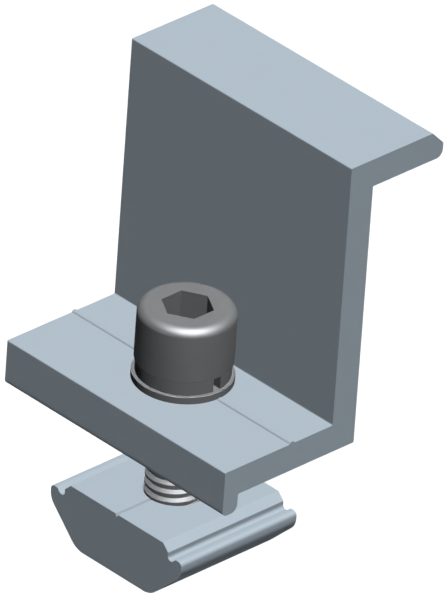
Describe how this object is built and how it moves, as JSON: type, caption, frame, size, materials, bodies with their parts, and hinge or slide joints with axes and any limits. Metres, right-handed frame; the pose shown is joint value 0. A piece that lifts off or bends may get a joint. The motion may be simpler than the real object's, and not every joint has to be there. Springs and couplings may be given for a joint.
{
  "type": "solar end clamp",
  "caption": "Z-shaped extruded clamp bracket whose upper flange laps over a panel frame, held to a rail by a socket cap screw, split washer, flat washer and toothed channel nut.",
  "frame": {"origin": "on the screw's axis, in the plane of the rail's top face, which is the underside of the bracket's foot", "axes": "+Z along the screw towards its head, +Y from the screw towards the clamped module and along the rail, +X along the bracket's extrusion, across the rail"},
  "size_m": [0.04, 0.0345, 0.0626],
  "materials": {
    "bracket_aluminium": "matte natural anodised extrusion",
    "nut_aluminium": "matte natural anodised extrusion",
    "screw_steel": "satin dark steel with bright thread flanks",
    "washer_steel": "satin dark steel"
  },
  "bodies": {
    "bracket": {"clamp_bracket": "bracket_aluminium"},
    "washers": {"flat_washer": "washer_steel", "spring_washer": "washer_steel"},
    "screw": {"cap_screw": "screw_steel"},
    "nut": {"rail_nut": "nut_aluminium"}
  },
  "joints": [
    {"name": "fastener_swivel", "type": "hinge", "parent": "bracket", "child": "washers", "pos_m": [0, 0, 0.0065], "axis": [0, 0, 1], "continuous": true},
    {"name": "screw_turn", "type": "hinge", "parent": "washers", "child": "screw", "pos_m": [0, 0, 0.0095], "axis": [0, 0, 1], "range_deg": [-2790, 720]},
    {"name": "nut_travel", "type": "slide", "parent": "washers", "child": "nut", "axis": [0, 0, 1], "range_m": [-0.0026, 0.0097]}
  ],
  "couplings": [
    {"joint": "nut_travel", "follows": "screw_turn", "m_per_rad": -0.00019894}
  ]
}
